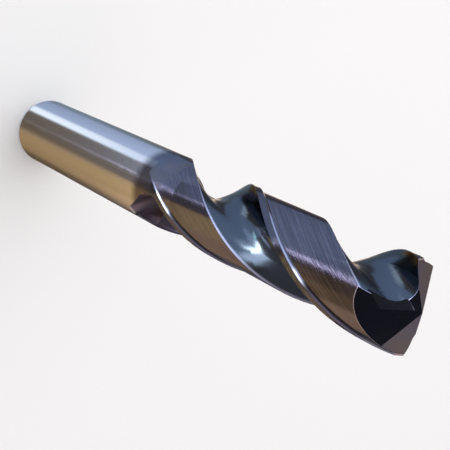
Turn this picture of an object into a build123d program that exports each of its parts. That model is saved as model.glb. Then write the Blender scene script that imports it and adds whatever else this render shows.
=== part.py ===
from build123d import *
from math import acos, asin, cos, degrees, pi, radians, sin, tan
import os

# Two-flute solid carbide twist drill, right hand, ground from one rod. Millimetres.
# The shank's end face lies in Z = 0 with its centre at the origin, the drill's axis is +Z
# with the point on top, and the two cutting lips run parallel to X.

# Rod
shank_diameter = 12.0
drill_diameter = 12.02  # over the margins at the point, from where they taper back to the shank
overall_length = 102.0  # shank end to chisel edge
shank_length = 45.0
full_flute_length = 53.0  # chisel edge to where the flutes start to rise out of the rod
shank_chamfer = 0.5  # round the shank's end

# Flutes
helix_angle = 30.5  # at the cutting diameter
web_thickness = 3.2  # core left between the two flutes
land_angle = 90.0  # part of a turn that each land takes, margin included
lip_side_angle = 60.0  # flute's wall below the lip, from the flute's floor
heel_side_angle = 46.0  # flute's wall below the heel, from the flute's floor
floor_tilt = 10.0  # flute's floor, falling towards the heel
root_radius = 2.5  # hollows between the floor and the two walls
run_out_radius = 8.0  # arc along which the flute's floor rises out
run_out_angle = 18.0  # from the drill's axis, against the helix, the way that arc runs

# Lands
margin_width = 1.0  # round the circumference, behind each leading edge
body_clearance = 0.4  # depth that the land is relieved behind its margin
step_lean = 45.0  # step between margin and land, from square to the rod's surface
clearance_length = 55.0  # chisel edge to the end of the relieved land
clearance_rise = 8.0  # last stretch, in which the relief rises out to the full rod

# Point
point_angle = 140.0
lip_offset = 1.0  # each lip ahead of the line through the drill's centre
lip_relief = 14.5  # primary flank, square to the lip
heel_relief = 42.0  # secondary flank, square to the ridge between the two flanks
ridge_angle = 26.0  # from the lip's direction back to that ridge

# Split point: a notch per lip that thins the web and shortens the chisel edge
thinned_lip_angle = 35.0  # from the lip's direction to its thinned inner part
thinned_lip_offset = 0.43  # thinned part of the lip from the drill's centre
notch_setback = 0.13  # start of the notch's root, past the centre along the thinned lip
notch_slope = 47.0  # the notch's root below level
notch_opening = 115.0  # between the notch's two walls
notch_root_radius = 0.2

# Derived rod and helix values
shank_radius = shank_diameter / 2
drill_radius = drill_diameter / 2
land_radius = drill_radius - body_clearance
flute_angle = 180.0 - land_angle
helix_tan = tan(radians(helix_angle))
helix_cos = cos(radians(helix_angle))
helix_sin = sin(radians(helix_angle))
lead = pi * drill_diameter / helix_tan
turn_per_mm = 360.0 / lead
margin_angle = degrees(margin_width / drill_radius)

# Outer corner of each lip
corner_angle = degrees(asin(lip_offset / drill_radius))
lip_slope = 1 / tan(radians(point_angle / 2))
relief_slope = tan(radians(lip_relief))
corner_reach = drill_radius * cos(radians(corner_angle))
corner_height = overall_length - corner_reach * lip_slope + lip_offset * relief_slope

# How far the cutters run clear of the rod
clear_of_rod = drill_radius / 2


def leading_edge_angle(height):
    """Angle of the first land's leading edge at a height above the shank's end."""
    return corner_angle + turn_per_mm * (height - corner_height)


def polar(radius, angle):
    """Point at a radius and an angle in degrees."""
    return radius * cos(radians(angle)), radius * sin(radians(angle))


def helix_plane_point(radius, angle):
    """Place a point of the drill's round section in the plane square to the helix.

    The point lies at a radius and at an angle from the flute's middle in the section
    square to the drill's axis. Following its helix to the tilted plane turns it back.
    """
    shrink = radius / drill_radius * helix_tan**2
    turned = radians(angle)
    for _ in range(30):
        turned = radians(angle) - shrink * sin(turned)
    return radius * sin(turned) / helix_cos, radius * cos(turned)


def lean_turn(radius):
    """Angle that the leaning step covers between the relieved land and a radius."""
    return step_lean - degrees(asin(land_radius * sin(radians(step_lean)) / radius))


def wall_top(corner, wall_angle, rise):
    """Point at a height above the core's middle on a wall that passes a corner."""
    return corner[0] + (rise - corner[1]) / tan(radians(wall_angle)), rise


def wall_foot(corner, wall_angle):
    """Point where a wall that passes a corner meets the flute's tilted floor."""
    wall_slope = tan(radians(wall_angle))
    floor_slope = -tan(radians(floor_tilt))
    across = (web_thickness / 2 - corner[1] + wall_slope * corner[0]) / (wall_slope - floor_slope)
    return across, web_thickness / 2 + floor_slope * across


# Corners of the flute in the plane square to the helix, u level and towards the heel,
# v out from the drill's axis
lip_corner = helix_plane_point(drill_radius, -flute_angle / 2)
heel_corner = helix_plane_point(land_radius, flute_angle / 2)
top_rise = drill_radius + clear_of_rod

# Plane square to the helix where the run-out starts, seen from the shank, v pointing out
run_out_height = overall_length - full_flute_length
run_out_middle = leading_edge_angle(run_out_height) + flute_angle / 2
flute_out = Vector(*polar(1, run_out_middle))
flute_side = Vector(*polar(1, run_out_middle + 90))
flute_run = flute_side * helix_sin + Vector(0, 0, helix_cos)
flute_level = flute_side * helix_cos - Vector(0, 0, helix_sin)
flute_plane = Plane(origin=(0, 0, run_out_height), x_dir=flute_level, z_dir=flute_run * -1)
run_out_centre = Vector(0, 0, run_out_height) + flute_out * (web_thickness / 2 + run_out_radius)
run_out_axle = flute_side * -cos(radians(run_out_angle)) - Vector(0, 0, sin(radians(run_out_angle)))
run_out_turn = degrees(acos(1 - drill_radius / run_out_radius))

# Flute cutter: the flute's form drawn along the helix, then turned out of the rod
with BuildPart() as flute_cutter:
    with BuildLine() as flute_path:
        Helix(lead, overall_length - run_out_height + clear_of_rod, drill_radius)
    helix_start = Location((0, 0, run_out_height), (0, 0, run_out_middle))
    with BuildSketch(flute_plane) as flute_form:
        with BuildLine():
            FilletPolyline(
                wall_top(heel_corner, heel_side_angle, top_rise),
                wall_foot(heel_corner, heel_side_angle),
                wall_foot(lip_corner, 180 - lip_side_angle),
                wall_top(lip_corner, 180 - lip_side_angle, top_rise),
                radius=root_radius,
            )
            Line(
                wall_top(lip_corner, 180 - lip_side_angle, top_rise),
                wall_top(heel_corner, heel_side_angle, top_rise),
            )
        make_face()
    sweep(flute_form.sketch, path=flute_path.edge().moved(helix_start), is_frenet=True)
    revolve(flute_form.sketch, axis=Axis(run_out_centre, run_out_axle), revolution_arc=run_out_turn)

# Relief cutter: a sector behind the margin that runs along the same helix, less the
# round body that stays, which rises out to the rod's full radius at its lower end
relief_start = overall_length - clearance_length
relief_full = relief_start + clearance_rise
relief_foot = relief_start - clearance_rise / 4
relief_top = overall_length + clear_of_rod
relief_depth = land_radius - body_clearance
relief_reach = drill_radius + clear_of_rod
foot_rise = (relief_start - relief_foot) * body_clearance / clearance_rise
step_angle = leading_edge_angle(relief_foot) - margin_angle - lean_turn(drill_radius)
past_heel_angle = leading_edge_angle(relief_foot) - land_angle - flute_angle / 4  # in the flute
bottom_turn = step_angle + lean_turn(relief_depth) - past_heel_angle
top_turn = step_angle + lean_turn(relief_reach) - past_heel_angle
with BuildPart() as relief_cutter:
    with BuildLine() as relief_path:
        Helix(lead, relief_top - relief_foot, drill_radius)
    helix_start = Location((0, 0, relief_foot), (0, 0, step_angle))
    with BuildSketch(Plane.XY.offset(relief_foot)) as relief_form:
        with BuildLine():
            bottom = CenterArc((0, 0), relief_depth, past_heel_angle, bottom_turn)
            top = CenterArc((0, 0), relief_reach, past_heel_angle, top_turn)
            Line(bottom @ 0, top @ 0)
            Line(bottom @ 1, top @ 1)
        make_face()
    sweep(relief_form.sketch, path=relief_path.edge().moved(helix_start), is_frenet=True)
    with BuildSketch(Plane.XZ) as body_form:
        with BuildLine():
            Polyline(
                (0, relief_foot - clear_of_rod),
                (drill_radius + foot_rise, relief_foot - clear_of_rod),
                (drill_radius + foot_rise, relief_foot),
                (land_radius, relief_full),
                (land_radius, relief_top + clear_of_rod),
                (0, relief_top + clear_of_rod),
                close=True,
            )
        make_face()
    revolve(body_form.sketch, axis=Axis.Z, mode=Mode.SUBTRACT)

# Point: the primary flank behind each lip, and the steeper flank behind the ridge
primary_normal = Vector(lip_slope, -relief_slope, 1)
ridge_drop = lip_slope * cos(radians(ridge_angle)) + relief_slope * sin(radians(ridge_angle))
along_ridge = Vector(*polar(1, -ridge_angle), -ridge_drop)
off_ridge = Vector(*polar(1, -ridge_angle - 90), -tan(radians(heel_relief)))
secondary_normal = off_ridge.cross(along_ridge)
point_centre = (0, 0, overall_length)

# Notch cutter for the first lip: two walls along a root that falls away from the centre
lip_outward = Vector(*polar(1, thinned_lip_angle))
off_lip = Vector(*polar(1, thinned_lip_angle + 90))
notch_run = lip_outward * cos(radians(notch_slope)) - Vector(0, 0, sin(radians(notch_slope)))
notch_up = lip_outward * sin(radians(notch_slope)) + Vector(0, 0, cos(radians(notch_slope)))
notch_start = Vector(*point_centre) + off_lip * thinned_lip_offset - lip_outward * notch_setback
notch_plane = Plane(origin=notch_start, x_dir=notch_up, z_dir=notch_run)
with BuildPart() as notch_cutter:
    with BuildSketch(notch_plane) as notch_form:
        with BuildLine():
            Polyline(
                (0, 0),
                (clear_of_rod, 0),
                (clear_of_rod, -clear_of_rod),
                polar(clear_of_rod, -notch_opening),
                close=True,
            )
        make_face()
        fillet(notch_form.vertices().sort_by_distance((0, 0))[0], notch_root_radius)
    extrude(amount=drill_radius, both=True)

with BuildPart() as drill:
    with BuildSketch(Plane.XZ) as rod_form:
        with BuildLine():
            Polyline(
                (0, 0),
                (shank_radius, 0),
                (shank_radius, shank_length),
                (drill_radius, overall_length),
                (0, overall_length),
                close=True,
            )
        make_face()
    revolve(rod_form.sketch, axis=Axis.Z)
    chamfer(drill.edges().sort_by(Axis.Z)[0], shank_chamfer)
    with PolarLocations(0, 2):
        add(flute_cutter.part, mode=Mode.SUBTRACT)
    with PolarLocations(0, 2):
        add(relief_cutter.part, mode=Mode.SUBTRACT)
    with PolarLocations(0, 2):
        add(notch_cutter.part, mode=Mode.SUBTRACT)
    for half_turn in (0, 180):
        for flank_normal in (primary_normal, secondary_normal):
            flank = Plane(origin=point_centre, z_dir=flank_normal.rotate(Axis.Z, half_turn))
            split(bisect_by=flank, keep=Keep.BOTTOM)

drill.part.label = "drill"
os.makedirs("parts", exist_ok=True)
export_step(drill.part, "parts/drill.step")
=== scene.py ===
"""Solid carbide twist drill, dressed and lit for the photograph's view.

The real drill is ground from one carbide rod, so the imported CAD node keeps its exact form. This script
gives it its finish: bright ground carbide on the shank, a thin dark nitride coating on the fluted part,
and the fine marks that grinding leaves. Sizes are in millimetres unless a name ends in _m, and angles are
in degrees.
"""

import logging
from collections.abc import Callable
from dataclasses import dataclass
from enum import Enum
from functools import partial, reduce
from math import cos, pi, radians, sin, tan

import bmesh
import bpy
from mathutils import Euler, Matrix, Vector

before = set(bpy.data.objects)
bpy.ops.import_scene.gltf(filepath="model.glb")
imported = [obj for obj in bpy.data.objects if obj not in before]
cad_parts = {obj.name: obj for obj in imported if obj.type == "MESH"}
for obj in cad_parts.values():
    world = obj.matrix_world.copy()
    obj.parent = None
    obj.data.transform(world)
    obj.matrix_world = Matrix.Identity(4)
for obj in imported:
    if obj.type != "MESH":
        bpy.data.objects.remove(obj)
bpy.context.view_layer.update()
log = logging.getLogger("drill")

Socket = bpy.types.NodeSocket
Value = Socket | Vector | float | tuple[float, ...]
AddNode = Callable[..., Socket]  # add_node on one tree
Colour = tuple[float, float, float, float]
Span = tuple[float, float]  # a mask's soft border, 0 at the first value and 1 at the second

MM = 0.001  # metres in a millimetre
DEGREES = 180 / pi  # in a radian
ALL_ROUND = 181.0  # half width of a panel that makes a ring round the drill
UP = (0.0, 0.0, 1.0)  # along the drill's axis, shank to point

# A noise: how many layers of finer detail it has, how strong each is against the one before, its middle
FEW_LAYERS = 2.0
MORE_LAYERS = 3.0
EVEN_LAYERS = 0.5
HARSH_LAYERS = 0.6
NOISE_MIDDLE = 0.5


class Node(Enum):
    """Shader nodes used here: Blender's type, its setting, the inputs in order, and the output."""

    PLACE = ("ShaderNodeTexCoord", {}, (), "Object")
    DIRECTION = ("ShaderNodeTexCoord", {}, (), "Generated")
    NORMAL = ("ShaderNodeNewGeometry", {}, (), "Normal")
    X = ("ShaderNodeSeparateXYZ", {}, (0,), "X")
    Y = ("ShaderNodeSeparateXYZ", {}, (0,), "Y")
    Z = ("ShaderNodeSeparateXYZ", {}, (0,), "Z")
    VECTOR = ("ShaderNodeCombineXYZ", {}, (0, 1, 2), 0)
    ADD = ("ShaderNodeMath", {"operation": "ADD"}, (0, 1), 0)
    SUBTRACT = ("ShaderNodeMath", {"operation": "SUBTRACT"}, (0, 1), 0)
    MULTIPLY = ("ShaderNodeMath", {"operation": "MULTIPLY"}, (0, 1), 0)
    DIVIDE = ("ShaderNodeMath", {"operation": "DIVIDE"}, (0, 1), 0)
    MAXIMUM = ("ShaderNodeMath", {"operation": "MAXIMUM"}, (0, 1), 0)
    ABSOLUTE = ("ShaderNodeMath", {"operation": "ABSOLUTE"}, (0,), 0)
    ARCSINE = ("ShaderNodeMath", {"operation": "ARCSINE"}, (0,), 0)
    ARCTAN2 = ("ShaderNodeMath", {"operation": "ARCTAN2"}, (0, 1), 0)
    RAMP = ("ShaderNodeMapRange", {"interpolation_type": "SMOOTHSTEP"}, (0, 1, 2), 0)
    OFFSET = ("ShaderNodeVectorMath", {"operation": "SUBTRACT"}, (0, 1), 0)
    SCALE = ("ShaderNodeVectorMath", {"operation": "SCALE"}, (0, "Scale"), 0)
    STRETCH = ("ShaderNodeVectorMath", {"operation": "MULTIPLY"}, (0, 1), 0)
    CROSS = ("ShaderNodeVectorMath", {"operation": "CROSS_PRODUCT"}, (0, 1), 0)
    DOT = ("ShaderNodeVectorMath", {"operation": "DOT_PRODUCT"}, (0, 1), "Value")
    LENGTH = ("ShaderNodeVectorMath", {"operation": "LENGTH"}, (0,), "Value")
    TURN = ("ShaderNodeVectorRotate", {"rotation_type": "AXIS_ANGLE"}, ("Vector", "Axis", "Angle"), 0)
    NOISE = ("ShaderNodeTexNoise", {}, ("Vector", "Scale", "Detail", "Roughness"), 0)
    MIX_NUMBER = ("ShaderNodeMix", {"data_type": "FLOAT"}, (0, 2, 3), 0)
    MIX_VECTOR = ("ShaderNodeMix", {"data_type": "VECTOR"}, (0, 4, 5), 1)
    MIX_COLOUR = ("ShaderNodeMix", {"data_type": "RGBA"}, (0, 6, 7), 2)
    BUMP = ("ShaderNodeBump", {}, ("Strength", "Distance", "Height"), 0)
    PAINT = ("ShaderNodeBsdfPrincipled", {}, ("Base Color", "Roughness"), 0)
    METAL = (
        "ShaderNodeBsdfPrincipled",
        {},
        ("Base Color", "Roughness", "Tangent", "Normal", "Metallic", "Anisotropic", "Specular Tint"),
        0,
    )
    SKY = ("ShaderNodeBackground", {}, ("Color",), 0)
    SURFACE_OUTPUT = ("ShaderNodeOutputMaterial", {}, ("Surface",), None)
    WORLD_OUTPUT = ("ShaderNodeOutputWorld", {}, ("Surface",), None)


def linear(hex_colour: str) -> Colour:
    """Turns an sRGB colour into the linear values that shaders take.

    Args:
        hex_colour: six hex digits, such as "808080".

    Returns:
        Red, green and blue from 0 to 1, and an alpha of 1.
    """
    channels = [int(hex_colour[i : i + 2], 16) / 255 for i in (0, 2, 4)]
    red, green, blue = (c / 12.92 if c <= 0.04045 else ((c + 0.055) / 1.055) ** 2.4 for c in channels)
    return red, green, blue, 1.0


def add_node(tree: bpy.types.NodeTree, kind: Node, *values: Value) -> Socket | None:
    """Adds one node with its setting, and fills or links its inputs.

    Args:
        tree: the tree that gets the node.
        kind: which node.
        *values: a value or another node's output for each of the kind's inputs, in their order.

    Returns:
        The kind's output, or nothing from a tree's last node.
    """
    type_name, settings, inputs, output = kind.value
    node = tree.nodes.new(type_name)
    for name, setting in settings.items():
        setattr(node, name, setting)
    for name, value in zip(inputs, values, strict=True):
        if isinstance(value, Socket):
            tree.links.new(value, node.inputs[name])
        else:
            node.inputs[name].default_value = value
    return None if output is None else node.outputs[output]


def overlap(add: AddNode, *masks: Value) -> Socket:
    """Returns the mask of where all the given masks hold."""
    return reduce(partial(add, Node.MULTIPLY), masks)


@dataclass(frozen=True)
class GroundCarbide:
    """Tungsten carbide with ten percent cobalt, cylindrically ground and left bare.

    It is a dense, slightly dark grey metal. The grinding wheel leaves fine rings round it, so a light
    spreads into a streak along the axis.
    """

    colour: str = "CCCBCA"
    roughness: float = 0.12
    anisotropy: float = 0.85  # parallel grinding marks, here and under the coating, spread light across them
    grazing_tint: str = "BCBCBC"  # the marks shade each other, so the metal brightens less at its rims
    ring_spacing: float = 0.35  # real ones are a few hundredths, drawn as coarse as they need to show
    ring_depth: float = 0.0004
    ring_squeeze: float = 0.02  # how fast the marks change across the drill, against along it


@dataclass(frozen=True)
class NitrideCoating:
    """Titanium aluminium nitride, a few thousandths thick, laid on the ground flutes, lands and point.

    It is a dark violet-grey mirror that follows each grinding mark under it, tinted here and there by its
    own thickness. The spans are values of a noise at which one tint turns into the next.
    """

    colour: str = "686B76"
    roughness: float = 0.14
    thin_tint: str = "68687C"  # where the film is thinner it turns violet
    thick_tint: str = "746D6A"  # and where it is thicker, brown
    tint_size: float = 9.0
    thin_to_plain: Span = (0.35, 0.5)
    plain_to_thick: Span = (0.5, 0.7)
    land_colour: str = "5A585E"
    land_roughness: float = 0.1
    worn_colour: str = "74717A"  # crests of the land's grinding marks, paler than their hollows
    hollow_to_crest: Span = (0.35, 0.72)
    step_highlight_colour: str = "B4B0BA"  # painted highlight: bright line where margin steps down to land
    margin_colour: str = "5C5C62"
    margin_roughness: float = 0.1  # the margins rub in the hole, which polishes them
    # Darker and bluer than the film elsewhere: painted shade in the flutes' hollows and painted blue
    # reflection
    flute_painted_shade_colour: str = "596067"  # polished after grinding, so it mirrors its surroundings
    flute_roughness: float = 0.16
    run_out_colour: str = "786C75"  # left as the wheel's rim cut it, so it is dull
    run_out_roughness: float = 0.42
    amber_colour: str = "8A6238"  # the film's own interference colour, where it grew thicker along a lip
    plain_to_amber: Span = (0.45, 0.6)
    # The lips are honed cutting edges, and there the film is also worn thin
    rim_and_lip_highlight_colour: str = "C4C0D0"  # painted highlight along the flutes' rims and the lips
    edge_roughness: float = 0.42
    grain_reach: float = 0.1  # how far the roughness wanders, from its lowest to its highest
    scratch_width: float = 0.12  # real ones are under a hundredth, drawn as coarse as they need to show
    scratch_length: float = 12.0
    scratch_depth: float = 0.008
    polished_share: float = 0.1  # of that depth, left where the face was polished
    tilt: float = 0.06  # the coating's edge climbs towards +X, because the rod was masked at a slant


@dataclass(frozen=True)
class Borders:
    """Where one finish turns softly into the next on the drill.

    Depth is measured below the rod's surface and lift above the relieved land, both along the radius.
    Heights are along the axis, from the shank's end. Facing is the normal's part round the axis, times
    the radius, and it is over 0 on a surface that faces the way the flutes climb.
    """

    coated_height: Span = (43.1, 46.1)
    cut_height: Span = (39.0, 41.0)  # nothing is ground out of the shank below it
    relieved_height: Span = (47.0, 51.0)
    fluted_height: Span = (47.0, 52.0)  # the flute has left its run-out
    point_height: Span = (95.0, 96.0)
    cut_depth: Span = (0.05, 0.3)
    off_margin_depth: Span = (0.02, 0.06)
    amber_depth: Span = (1.0, 0.3)
    lead_rim_depth: Span = (0.14, 0.0)
    on_land_lift: Span = (-0.08, -0.03)
    above_land_lift: Span = (0.05, 0.2)
    ledge_lift: Span = (0.12, 0.2)
    flute_lift: Span = (-0.03, -0.1)
    heel_rim_lift: Span = (-0.5, -0.2)
    forward_facing: Span = (-0.6, 0.6)
    round_lean: Span = (0.9, 0.6)  # a face's lean is 0 where it faces straight out, 1 where well round
    point_rise: Span = (0.5, 0.58)  # Z of a flank's unit normal
    lip_height: Span = (-0.14, -0.0467)  # over the nearest flank, below 0 inside the drill


@dataclass(frozen=True)
class PointFlanks:
    """The four ground flanks of the point, at the CAD source's angles."""

    top: float = 102.0
    point_angle: float = 140.0
    lip_relief: float = 14.5
    heel_relief: float = 42.0
    ridge_angle: float = 26.0

    def normals(self) -> list[Vector]:
        """Works out how the flanks face.

        Returns:
            Each flank's outward unit normal: primary and secondary of one lip, then of the other.
        """
        lip_slope = 1 / tan(radians(self.point_angle / 2))
        relief_slope = tan(radians(self.lip_relief))
        turn = radians(self.ridge_angle)
        drop = lip_slope * cos(turn) + relief_slope * sin(turn)
        along_ridge = Vector((cos(turn), -sin(turn), -drop))
        off_ridge = Vector((-sin(turn), -cos(turn), -tan(radians(self.heel_relief))))
        primary = Vector((lip_slope, -relief_slope, 1.0)).normalized()
        secondary = off_ridge.cross(along_ridge).normalized()
        half_turned = [Vector((-normal.x, -normal.y, normal.z)) for normal in (primary, secondary)]
        return [primary, secondary, *half_turned]


@dataclass(frozen=True)
class Spot:
    """One place on the drill's surface, in millimetres, as outputs of the material's nodes."""

    place: Socket
    normal: Socket
    x: Socket
    y: Socket
    height: Socket
    radius: Socket
    facing: Socket  # the normal's part round the axis, times the radius


@dataclass(frozen=True)
class Regions:
    """Masks, 0 to 1, of the parts of the drill's surface that were finished differently."""

    coated: Socket
    scratched: Socket  # lands and margins, which keep their grinding marks
    land: Socket
    ledge: Socket
    margin: Socket
    flute: Socket
    run_out: Socket
    amber: Socket
    edge: Socket


@dataclass
class Drill:
    """The drill, with the sizes of the CAD source that its finish follows."""

    node: str = "drill"
    diameter: float = 12.0
    land_radius: float = 5.61
    helix_angle: float = 30.5
    flanks: PointFlanks = PointFlanks()
    borders: Borders = Borders()
    carbide: GroundCarbide = GroundCarbide()
    coating: NitrideCoating = NitrideCoating()

    @property
    def lead(self) -> float:
        """Height in which a flute makes one turn."""
        return pi * self.diameter / tan(radians(self.helix_angle))

    def build(self) -> bpy.types.Object:
        """Puts the finish on the CAD node.

        Returns:
            The node's object.
        """
        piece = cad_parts[self.node]
        material = self.make_material()
        for material_slot in piece.material_slots:
            material_slot.material = material
        return piece

    def make_material(self) -> bpy.types.Material:
        """Makes ground carbide under its nitride coating, one finish over the whole solid.

        Returns:
            The material.
        """
        material = bpy.data.materials.new("ground_carbide_with_nitride_coating")
        material.use_nodes = True
        material.node_tree.nodes.clear()
        add = partial(add_node, material.node_tree)

        spot = self.find_spot(add)
        regions = self.find_regions(add, spot)
        unwound = self.unwind(add, spot)
        colour = self.make_colour(add, spot, unwound, regions)
        roughness = self.make_roughness(add, unwound, regions)
        marks = self.make_marks(add, spot, unwound, regions)
        tangent = self.make_tangent(add, spot, regions)
        full_strength = 1.0
        all_metal = 1.0
        bumped = add(Node.BUMP, full_strength, MM, marks)
        tint = linear(self.carbide.grazing_tint)
        surface = add(
            Node.METAL, colour, roughness, tangent, bumped, all_metal, self.carbide.anisotropy, tint
        )
        add(Node.SURFACE_OUTPUT, surface)
        return material

    def find_spot(self, add: AddNode) -> Spot:
        """Measures a place on the surface.

        Args:
            add: adds a node to the material.

        Returns:
            The place, its normal and its distances.
        """
        place = add(Node.SCALE, add(Node.PLACE), 1 / MM)
        normal = add(Node.NORMAL)
        x, y, height = (add(axis, place) for axis in (Node.X, Node.Y, Node.Z))
        radius = add(Node.LENGTH, add(Node.VECTOR, x, y, 0.0))
        facing = add(Node.DOT, add(Node.CROSS, UP, place), normal)
        return Spot(place, normal, x, y, height, radius, facing)

    def find_regions(self, add: AddNode, spot: Spot) -> Regions:
        """Finds which part of the drill a place on its surface belongs to.

        Args:
            add: adds a node to the material.
            spot: the place.

        Returns:
            The masks.
        """
        border = self.borders
        depth = add(Node.SUBTRACT, self.diameter / 2, spot.radius)
        lift = add(Node.SUBTRACT, spot.radius, self.land_radius)

        cut = overlap(
            add,
            add(Node.RAMP, spot.height, *border.cut_height),
            add(Node.RAMP, depth, *border.cut_depth),
        )
        slanted = add(Node.SUBTRACT, spot.height, add(Node.MULTIPLY, spot.x, self.coating.tilt))
        coated = add(Node.MAXIMUM, add(Node.RAMP, slanted, *border.coated_height), cut)
        fluted = add(Node.RAMP, spot.height, *border.fluted_height)
        run_out = overlap(add, cut, add(Node.SUBTRACT, 1.0, fluted))

        relieved = add(Node.RAMP, spot.height, *border.relieved_height)
        off_margin = add(Node.RAMP, depth, *border.off_margin_depth)
        margin = overlap(add, relieved, add(Node.SUBTRACT, 1.0, off_margin))
        on_land = add(Node.RAMP, lift, *border.on_land_lift)
        above_land = add(Node.RAMP, lift, *border.above_land_lift)
        land = overlap(add, add(Node.SUBTRACT, on_land, above_land), relieved)

        forward = add(Node.RAMP, spot.facing, *border.forward_facing)
        backward = add(Node.SUBTRACT, 1.0, forward)
        lean = add(Node.ABSOLUTE, add(Node.SUBTRACT, forward, backward))
        round_face = overlap(add, on_land, add(Node.RAMP, lean, *border.round_lean))
        scratched = overlap(add, round_face, relieved)
        above_ledge = add(Node.RAMP, lift, *border.ledge_lift)
        off_round = add(Node.SUBTRACT, 1.0, round_face)
        ledge = overlap(add, above_ledge, off_margin, relieved, backward, off_round)

        point = overlap(
            add,
            add(Node.RAMP, add(Node.Z, spot.normal), *border.point_rise),
            add(Node.RAMP, spot.height, *border.point_height),
        )
        below_land = add(Node.RAMP, lift, *border.flute_lift)
        hollow = add(Node.MAXIMUM, below_land, overlap(add, forward, off_margin))
        outer = add(Node.MAXIMUM, point, round_face)
        flute = overlap(add, hollow, fluted, add(Node.SUBTRACT, 1.0, outer))
        amber = overlap(add, flute, forward, add(Node.RAMP, depth, *border.amber_depth))

        heel_rim = add(Node.RAMP, lift, *border.heel_rim_lift)
        lead_rim = add(Node.RAMP, depth, *border.lead_rim_depth)
        rim = overlap(add, flute, add(Node.MIX_NUMBER, forward, heel_rim, lead_rim))
        lip = overlap(add, self.find_lips(add, spot), add(Node.SUBTRACT, 1.0, point))
        edge = add(Node.MAXIMUM, rim, lip)
        return Regions(coated, scratched, land, ledge, margin, flute, run_out, amber, edge)

    def find_lips(self, add: AddNode, spot: Spot) -> Socket:
        """Finds the surface close under the point's flanks, where their edges are honed.

        Args:
            add: adds a node to the material.
            spot: the place.

        Returns:
            The mask, which holds on the flanks too.
        """
        from_top = add(Node.OFFSET, spot.place, (0.0, 0.0, self.flanks.top))
        heights = [add(Node.DOT, from_top, normal) for normal in self.flanks.normals()]
        nearest = reduce(partial(add, Node.MAXIMUM), heights)
        return add(Node.RAMP, nearest, *self.borders.lip_height)

    def unwind(self, add: AddNode, spot: Spot) -> Socket:
        """Turns the drill's space back along its helix, so that a noise in it runs along the flutes.

        Args:
            add: adds a node to the material.
            spot: the place.

        Returns:
            The turned place, with its height shortened to stretch the noise into scratches.
        """
        angle = add(Node.MULTIPLY, spot.height, -2 * pi / self.lead)
        turned = add(Node.TURN, spot.place, UP, angle)
        shorter = self.coating.scratch_width / self.coating.scratch_length
        return add(Node.STRETCH, turned, (1.0, 1.0, shorter))

    def make_colour(self, add: AddNode, spot: Spot, unwound: Socket, regions: Regions) -> Socket:
        """Mixes the bare carbide's grey and the coating's slowly changing tint.

        Args:
            add: adds a node to the material.
            spot: the place.
            unwound: the place turned back along the helix.
            regions: the masks of the differently finished parts.

        Returns:
            The base colour.
        """
        coating = self.coating
        cloud = add(Node.NOISE, spot.place, 1 / coating.tint_size, FEW_LAYERS, EVEN_LAYERS)
        plain = add(Node.RAMP, cloud, *coating.thin_to_plain)
        thick = add(Node.RAMP, cloud, *coating.plain_to_thick)
        film = add(Node.MIX_COLOUR, plain, linear(coating.thin_tint), linear(coating.colour))
        film = add(Node.MIX_COLOUR, thick, film, linear(coating.thick_tint))

        marks = add(Node.NOISE, unwound, 1 / coating.scratch_width, MORE_LAYERS, HARSH_LAYERS)
        crest = add(Node.RAMP, marks, *coating.hollow_to_crest)
        land = add(Node.MIX_COLOUR, crest, linear(coating.land_colour), linear(coating.worn_colour))
        amber = overlap(add, regions.amber, add(Node.RAMP, cloud, *coating.plain_to_amber))
        layers = (
            (regions.land, land),
            # painted shade and painted blue reflection in the flutes
            (regions.flute, linear(coating.flute_painted_shade_colour)),
            (amber, linear(coating.amber_colour)),
            (regions.run_out, linear(coating.run_out_colour)),
            (regions.margin, linear(coating.margin_colour)),
            # painted highlight along the step from margin to land
            (regions.ledge, linear(coating.step_highlight_colour)),
            # painted highlight along the flutes' rims and the lips
            (regions.edge, linear(coating.rim_and_lip_highlight_colour)),
        )
        for mask, colour in layers:
            film = add(Node.MIX_COLOUR, mask, film, colour)
        return add(Node.MIX_COLOUR, regions.coated, linear(self.carbide.colour), film)

    def make_roughness(self, add: AddNode, unwound: Socket, regions: Regions) -> Socket:
        """Mixes the roughness of the differently finished parts, a little uneven along the flutes.

        Args:
            add: adds a node to the material.
            unwound: the place turned back along the helix.
            regions: the masks of those parts.

        Returns:
            The roughness.
        """
        coating = self.coating
        roughness = add(Node.MIX_NUMBER, regions.coated, self.carbide.roughness, coating.roughness)
        layers = (
            (regions.land, coating.land_roughness),
            (regions.flute, coating.flute_roughness),
            (regions.margin, coating.margin_roughness),
            (regions.run_out, coating.run_out_roughness),
            (regions.edge, coating.edge_roughness),
        )
        for mask, value in layers:
            roughness = add(Node.MIX_NUMBER, mask, roughness, value)
        grain = add(Node.NOISE, unwound, 1 / coating.scratch_width, MORE_LAYERS, EVEN_LAYERS)
        uneven = add(Node.MULTIPLY, add(Node.SUBTRACT, grain, NOISE_MIDDLE), coating.grain_reach)
        return add(Node.ADD, roughness, uneven)

    def make_marks(self, add: AddNode, spot: Spot, unwound: Socket, regions: Regions) -> Socket:
        """Makes the grinding marks: rings on the shank, scratches along the helix on the coated part.

        Args:
            add: adds a node to the material.
            spot: the place.
            unwound: the place turned back along the helix.
            regions: the masks of the differently finished parts.

        Returns:
            The marks' height in millimetres.
        """
        carbide, coating = self.carbide, self.coating
        ring_place = add(Node.STRETCH, spot.place, (carbide.ring_squeeze, carbide.ring_squeeze, 1.0))
        rings = add(Node.NOISE, ring_place, 1 / carbide.ring_spacing, MORE_LAYERS, EVEN_LAYERS)
        bare = add(Node.SUBTRACT, 1.0, regions.coated)
        rings = overlap(add, rings, bare, carbide.ring_depth)

        scratches = add(Node.NOISE, unwound, 1 / coating.scratch_width, FEW_LAYERS, EVEN_LAYERS)
        share = add(Node.MIX_NUMBER, regions.scratched, coating.polished_share, 1.0)
        scratches = overlap(add, scratches, share, regions.coated, coating.scratch_depth)
        return add(Node.ADD, rings, scratches)

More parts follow.
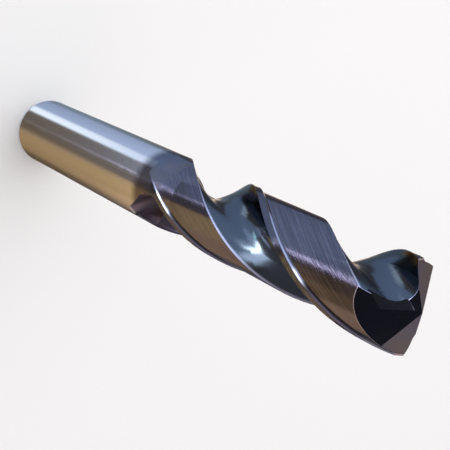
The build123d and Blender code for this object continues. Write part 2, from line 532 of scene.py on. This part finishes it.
    def make_tangent(self, add: AddNode, spot: Spot, regions: Regions) -> Socket:
        """Gives the direction in which a highlight is stretched: across the grinding marks.

        Args:
            add: adds a node to the material.
            spot: the place.
            regions: the masks of the differently finished parts.

        Returns:
            The tangent.
        """
        around_x = add(Node.DIVIDE, add(Node.MULTIPLY, spot.y, -1.0), spot.radius)
        around_y = add(Node.DIVIDE, spot.x, spot.radius)
        ring = add(Node.VECTOR, around_x, around_y, 0.0)
        slope = radians(self.helix_angle)
        along_x, along_y = (add(Node.MULTIPLY, part, sin(slope)) for part in (around_x, around_y))
        helix = add(Node.VECTOR, along_x, along_y, cos(slope))
        mark = add(Node.MIX_VECTOR, regions.coated, ring, helix)
        return add(Node.CROSS, spot.normal, mark)


@dataclass(frozen=True)
class Panel:
    """One soft-edged panel or lamp of the studio, far off, which lights the drill and shows in its metal."""

    name: str
    azimuth: float  # of its middle, seen from the drill
    half_width: float
    low: float  # elevations between which it stands
    high: float
    fade: float  # width of its soft borders
    colour: str
    strength: float
    lean: float = 0.0  # degrees of azimuth per degree of elevation

    def light(self) -> Colour:
        """Returns its linear colour at its strength."""
        red, green, blue, alpha = linear(self.colour)
        return red * self.strength, green * self.strength, blue * self.strength, alpha

    def mask(self, add: AddNode, direction: Socket, elevation: Socket) -> Socket:
        """Finds where in the world the panel stands.

        Args:
            add: adds a node to the world.
            direction: direction seen from the drill.
            elevation: that direction's elevation in degrees.

        Returns:
            Its mask, soft at the borders.
        """
        turn = radians(self.azimuth)
        ahead = add(Node.DOT, direction, (cos(turn), sin(turn), 0.0))
        aside = add(Node.DOT, direction, (-sin(turn), cos(turn), 0.0))
        turned = add(Node.MULTIPLY, add(Node.ARCTAN2, aside, ahead), DEGREES)
        if self.lean:
            above_middle = add(Node.SUBTRACT, elevation, (self.low + self.high) / 2)
            turned = add(Node.SUBTRACT, turned, add(Node.MULTIPLY, above_middle, self.lean))
        off_middle = add(Node.ABSOLUTE, turned)
        half_fade = self.fade / 2
        borders = ((off_middle, self.half_width), (elevation, self.low), (elevation, self.high))
        beside, above_low, above_high = (
            add(Node.RAMP, measure, value - half_fade, value + half_fade) for measure, value in borders
        )
        between = add(Node.SUBTRACT, above_low, above_high)
        return overlap(add, between, add(Node.SUBTRACT, 1.0, beside))


@dataclass(frozen=True)
class MattBoard:
    """Pale painted board. It scatters light evenly, so it shows a soft shadow and no highlight."""

    colour: str = "F4F4F4"
    roughness: float = 0.9

    def make_material(self) -> bpy.types.Material:
        """Makes the board's paint.

        Returns:
            The material.
        """
        material = bpy.data.materials.new("matt_white_board")
        material.use_nodes = True
        material.node_tree.nodes.clear()
        add = partial(add_node, material.node_tree)
        add(Node.SURFACE_OUTPUT, add(Node.PAINT, linear(self.colour), self.roughness))
        return material


@dataclass
class Studio:
    """Pale floor, one soft lamp, and a room with cool panels on one side and warm ones on the other.

    A later panel covers an earlier one. Those below the floor's level show in the metal only.
    """

    floor_size_m: float = 30.0
    board: MattBoard = MattBoard()
    room_colour: str = "B0B0B0"
    panels: tuple[Panel, ...] = (
        # Soft top light, and beside the drill what the flanks of its point mirror
        Panel("top_light", 0.0, ALL_ROUND, 66.0, 91.0, 16.0, "FAFCFF", 2.5),
        Panel("warm_side", 20.0, 45.0, 10.0, 60.0, 20.0, "C9B4AE", 1.2),
        Panel("warm_low", 100.0, 16.0, 4.0, 24.0, 8.0, "C9B4AE", 1.2),
        Panel("black_screen", 268.0, 32.0, -12.0, 62.0, 10.0, "2C2C34", 1.0),
        Panel("grey_screen", 280.0, 38.0, -14.0, 24.0, 10.0, "86808A", 1.0),
        # What the shank mirrors, at the lowest elevations, and above it the lands
        Panel("grey_ground", 0.0, ALL_ROUND, -91.0, -8.0, 6.0, "86848E", 1.0),
        Panel("pale_blue", 105.0, 26.0, -91.0, -57.0, 10.0, "A8BACD", 1.1),
        Panel("cool_panel", 172.0, 42.0, -91.0, 6.0, 10.0, "C0D6FF", 1.22),
        Panel("cool_strip", 201.0, 14.0, -80.0, -58.0, 9.0, "DCE8F8", 2.3),
        Panel("cool_foot", 234.0, 22.0, -55.5, -43.0, 4.0, "C0D6FF", 1.22),
        Panel("brown_screen", 250.0, 38.0, -91.0, -58.0, 12.0, "8C7C64", 0.78),
        Panel("brown_card", 37.0, 41.0, -91.0, -56.0, 12.0, "7A6A56", 1.12),
        Panel("warm_panel", 330.0, 42.0, -111.0, -34.0, 36.0, "B89A72", 1.28),
        Panel("warm_strip", 326.0, 44.0, -55.0, -48.0, 3.0, "DCC08E", 1.9),
        Panel("warm_shade", 284.0, 16.0, -48.0, -38.0, 5.0, "AC9381", 0.75),
        Panel("warm_end", 3.0, 27.0, -56.0, -30.0, 8.0, "C9A88A", 2.2),
        # Thin slit that draws a bright line along the lands, and a card behind for their far rim
        Panel("slit", 259.5, 1.2, -49.0, -40.0, 2.0, "E0DCFF", 15.0, 1.1),
        Panel("slit_foot", 253.0, 1.5, -53.5, -49.0, 2.0, "E0DCFF", 6.5, 1.1),
        Panel("cream_card", 88.0, 6.0, -58.0, -40.0, 5.0, "FFE6CC", 1.3),
        # Long lamp that the flutes mirror, inside its glow
        Panel("lamp_glow", 203.0, 15.0, -38.0, -14.0, 10.0, "C8DCFF", 2.2),
        Panel("low_glow", 221.0, 10.0, -19.0, -2.0, 4.0, "DDE9FF", 4.5),
        Panel("lamp_tail", 220.7, 3.0, -42.0, -32.0, 3.0, "C4F4FF", 5.5, -0.87),
        Panel("lamp", 212.5, 5.0, -31.0, -14.0, 4.0, "F2FAFF", 19.0, -0.87),
    )
    key_place_m: tuple[float, float, float] = (-0.2, 0.15, 0.6)
    key_size_m: float = 0.5
    key_power: float = 1.5

    def build(self) -> list[bpy.types.Object]:
        """Builds the world, the floor and the lamp.

        Returns:
            The floor and the lamp.
        """
        self.build_world()
        return [self.build_floor(), self.build_key()]

    def build_floor(self) -> bpy.types.Object:
        """Lays the floor under the drill's shank end.

        Returns:
            The floor.
        """
        mesh = bpy.data.meshes.new("floor")
        sheet = bmesh.new()
        bmesh.ops.create_grid(sheet, x_segments=1, y_segments=1, size=self.floor_size_m / 2)
        sheet.to_mesh(mesh)
        sheet.free()
        mesh.materials.append(self.board.make_material())
        floor = bpy.data.objects.new("floor", mesh)
        bpy.context.scene.collection.objects.link(floor)
        # It takes the drill's shadow, but the metal sees the panels and not the floor
        floor.visible_glossy = False
        floor.visible_shadow = False
        return floor

    def build_world(self) -> None:
        """Makes the room, an even grey, and hangs the panels in it."""
        world = bpy.data.worlds.new("studio")
        bpy.context.scene.world = world
        world.use_nodes = True
        world.node_tree.nodes.clear()
        add = partial(add_node, world.node_tree)
        direction = add(Node.DIRECTION)
        elevation = add(Node.MULTIPLY, add(Node.ARCSINE, add(Node.Z, direction)), DEGREES)
        room = linear(self.room_colour)
        for panel in self.panels:
            room = add(Node.MIX_COLOUR, panel.mask(add, direction, elevation), room, panel.light())
            log.info("panel %s", panel.name)
        add(Node.WORLD_OUTPUT, add(Node.SKY, room))

    def build_key(self) -> bpy.types.Object:
        """Hangs one soft lamp above the drill, which gives the floor its shadow.

        Returns:
            The lamp.
        """
        data = bpy.data.lights.new("key", "AREA")
        data.energy = self.key_power
        data.size = self.key_size_m
        lamp = bpy.data.objects.new("key", data)
        lamp.location = self.key_place_m
        lamp.rotation_euler = (-lamp.location).to_track_quat("-Z", "Y").to_euler()
        bpy.context.scene.collection.objects.link(lamp)
        return lamp


@dataclass
class PhotoCamera:
    """The photograph's camera, fitted to the drill's outline and edges.

    It looks down past the point towards the shank, turned nearly on its side.
    """

    place: tuple[float, float, float] = (-24.322, -88.656, 178.029)
    look: tuple[float, float, float] = (0.170911, 0.597764, -0.783242)
    roll: float = 116.4247  # from level, round the line of sight
    lens: float = 81.60
    sensor: float = 36.0
    nearest_m: float = 0.001

    def build(self) -> bpy.types.Object:
        """Makes the camera and hands it to the scene.

        Returns:
            The camera.
        """
        data = bpy.data.cameras.new("photo_camera")
        data.lens = self.lens
        data.sensor_width = self.sensor
        data.clip_start = self.nearest_m
        camera = bpy.data.objects.new("photo_camera", data)
        camera.location = Vector(self.place) * MM
        level = Vector(self.look).to_track_quat("-Z", "Y")
        camera.rotation_euler = (level @ Euler((0.0, 0.0, radians(self.roll))).to_quaternion()).to_euler()
        scene = bpy.context.scene
        scene.collection.objects.link(camera)
        scene.camera = camera
        scene.view_settings.view_transform = "Standard"
        return camera


def main() -> None:
    """Dresses the drill, builds the studio and the camera, and reports each piece."""
    logging.basicConfig(level=logging.INFO, format="%(name)s: %(message)s")
    for piece in (Drill().build(), *Studio().build(), PhotoCamera().build()):
        materials = ", ".join(slot.material.name for slot in piece.material_slots)
        log.info("built %s, %s, %s", piece.name, piece.type.lower(), materials or "no material")


if __name__ == "__main__":
    main()
